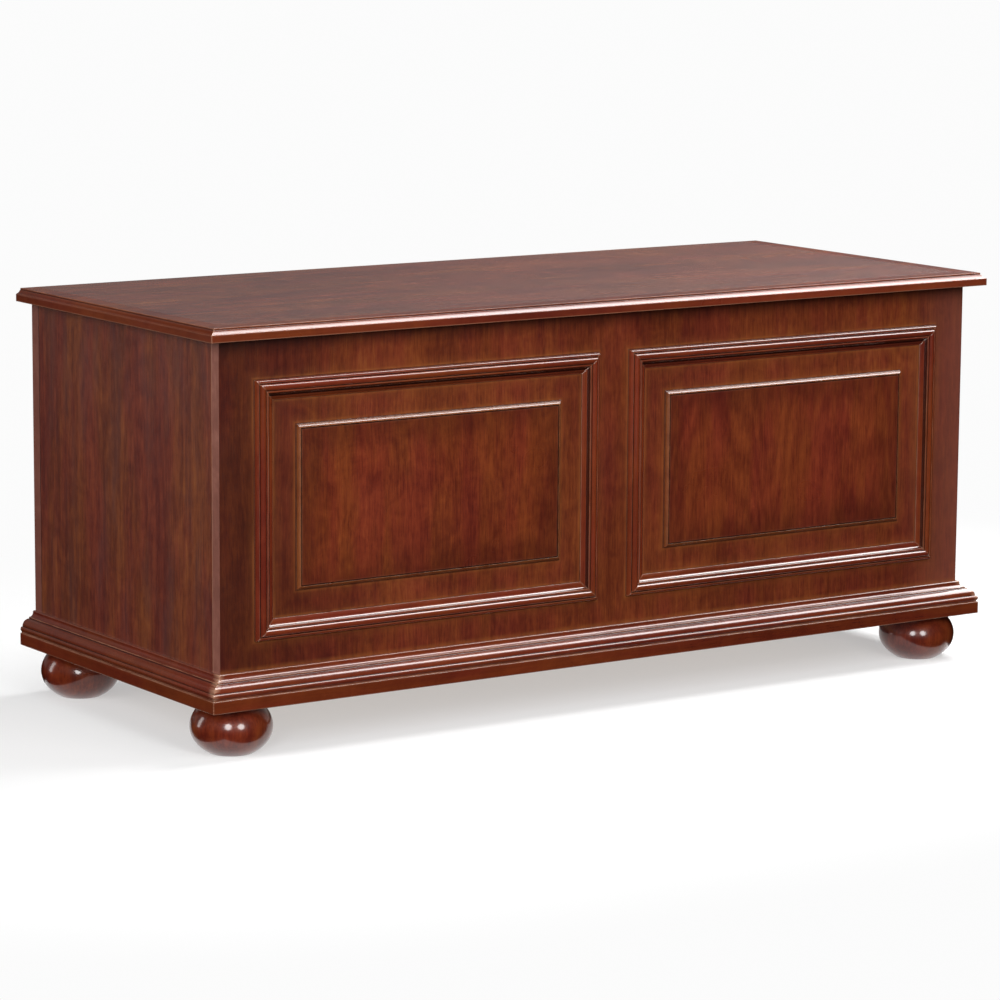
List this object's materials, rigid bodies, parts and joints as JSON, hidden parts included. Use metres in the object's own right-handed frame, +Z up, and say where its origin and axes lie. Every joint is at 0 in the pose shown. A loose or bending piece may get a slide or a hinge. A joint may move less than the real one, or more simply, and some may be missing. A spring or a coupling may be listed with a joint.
{
  "type": "wooden chest",
  "caption": "Low wooden blanket chest with a hinged lid, framed raised fields on the front, a moulded base and bun feet.",
  "frame": {"origin": "at floor level, in the middle of the overall plan outline, hinge barrels included", "axes": "+X along the front towards the right end as seen from the front, +Y towards the hinged back, +Z up"},
  "size_m": [1.22, 0.5144, 0.537],
  "materials": {
    "front_veneer": "stained, semi-gloss lacquer",
    "back_veneer": "stained, semi-gloss lacquer",
    "side_veneer": "stained, semi-gloss lacquer",
    "lid_veneer": "stained, semi-gloss lacquer",
    "lid_edge_wood": "stained, semi-gloss lacquer",
    "frame_wood": "stained, semi-gloss lacquer",
    "field_veneer": "stained, semi-gloss lacquer",
    "base_wood": "stained, semi-gloss lacquer",
    "foot_wood": "stained, semi-gloss lacquer",
    "bare_wood": "unfinished, planed",
    "hinge_brass": "dull brass",
    "stay_steel": "satin plated",
    "hidden_steel": "zinc plated"
  },
  "bodies": {
    "case": {"back_board": "back_veneer", "base_moulding_front": "base_wood", "base_moulding_left": "base_wood", "base_moulding_right": "base_wood", "base_rail_back": "base_wood", "base_rail_front": "base_wood", "base_rail_left": "base_wood", "base_rail_right": "base_wood", "base_screws": "hidden_steel", "bottom_bearer": "bare_wood", "bottom_panel": "bare_wood", "case_dowels": "bare_wood", "corner_post_back_left": "bare_wood", "corner_post_back_right": "bare_wood", "corner_post_front_left": "bare_wood", "corner_post_front_right": "bare_wood", "field_left": "field_veneer", "field_right": "field_veneer", "foot_back_left": "foot_wood", "foot_back_right": "foot_wood", "foot_block_back_left": "bare_wood", "foot_block_back_right": "bare_wood", "foot_block_front_left": "bare_wood", "foot_block_front_right": "bare_wood", "foot_front_left": "foot_wood", "foot_front_right": "foot_wood", "foot_studs": "hidden_steel", "foot_tee_nuts": "hidden_steel", "frame_left_bottom": "frame_wood", "frame_left_inner": "frame_wood", "frame_left_outer": "frame_wood", "frame_left_top": "frame_wood", "frame_right_bottom": "frame_wood", "frame_right_inner": "frame_wood", "frame_right_outer": "frame_wood", "frame_right_top": "frame_wood", "front_board": "front_veneer", "hinge_case_leaf_left": "hinge_brass", "hinge_case_leaf_middle": "hinge_brass", "hinge_case_leaf_right": "hinge_brass", "hinge_case_screws": "hinge_brass", "hinge_pins": "hinge_brass", "left_side": "side_veneer", "right_side": "side_veneer", "stay_stud_left": "stay_steel", "stay_stud_right": "stay_steel"},
    "lid": {"hinge_lid_leaf_left": "hinge_brass", "hinge_lid_leaf_middle": "hinge_brass", "hinge_lid_leaf_right": "hinge_brass", "hinge_lid_screws": "hinge_brass", "lid_edge_front": "lid_edge_wood", "lid_edge_left": "lid_edge_wood", "lid_edge_right": "lid_edge_wood", "lid_panel": "lid_veneer", "stay_bracket_left": "stay_steel", "stay_bracket_right": "stay_steel", "stay_bracket_screws": "stay_steel", "stay_rivets": "stay_steel"},
    "stay_left": {"stay_arm_left": "stay_steel"},
    "stay_right": {"stay_arm_right": "stay_steel"}
  },
  "joints": [
    {"name": "lid_hinge", "type": "hinge", "parent": "case", "child": "lid", "pos_m": [0, 0.2542, 0.52], "axis": [-1, 0, 0], "range_deg": [0, 98]},
    {"name": "stay_left_pivot", "type": "hinge", "parent": "lid", "child": "stay_left", "pos_m": [-0.5615, 0.08462, 0.508], "axis": [-1, 0, 0], "range_deg": [-49, 0]},
    {"name": "stay_right_pivot", "type": "hinge", "parent": "lid", "child": "stay_right", "pos_m": [0.5615, 0.08462, 0.508], "axis": [-1, 0, 0], "range_deg": [-49, 0]}
  ],
  "couplings": [
    {"joint": "stay_left_pivot", "follows": "lid_hinge", "ratio": -0.5},
    {"joint": "stay_right_pivot", "follows": "lid_hinge", "ratio": -0.5}
  ]
}
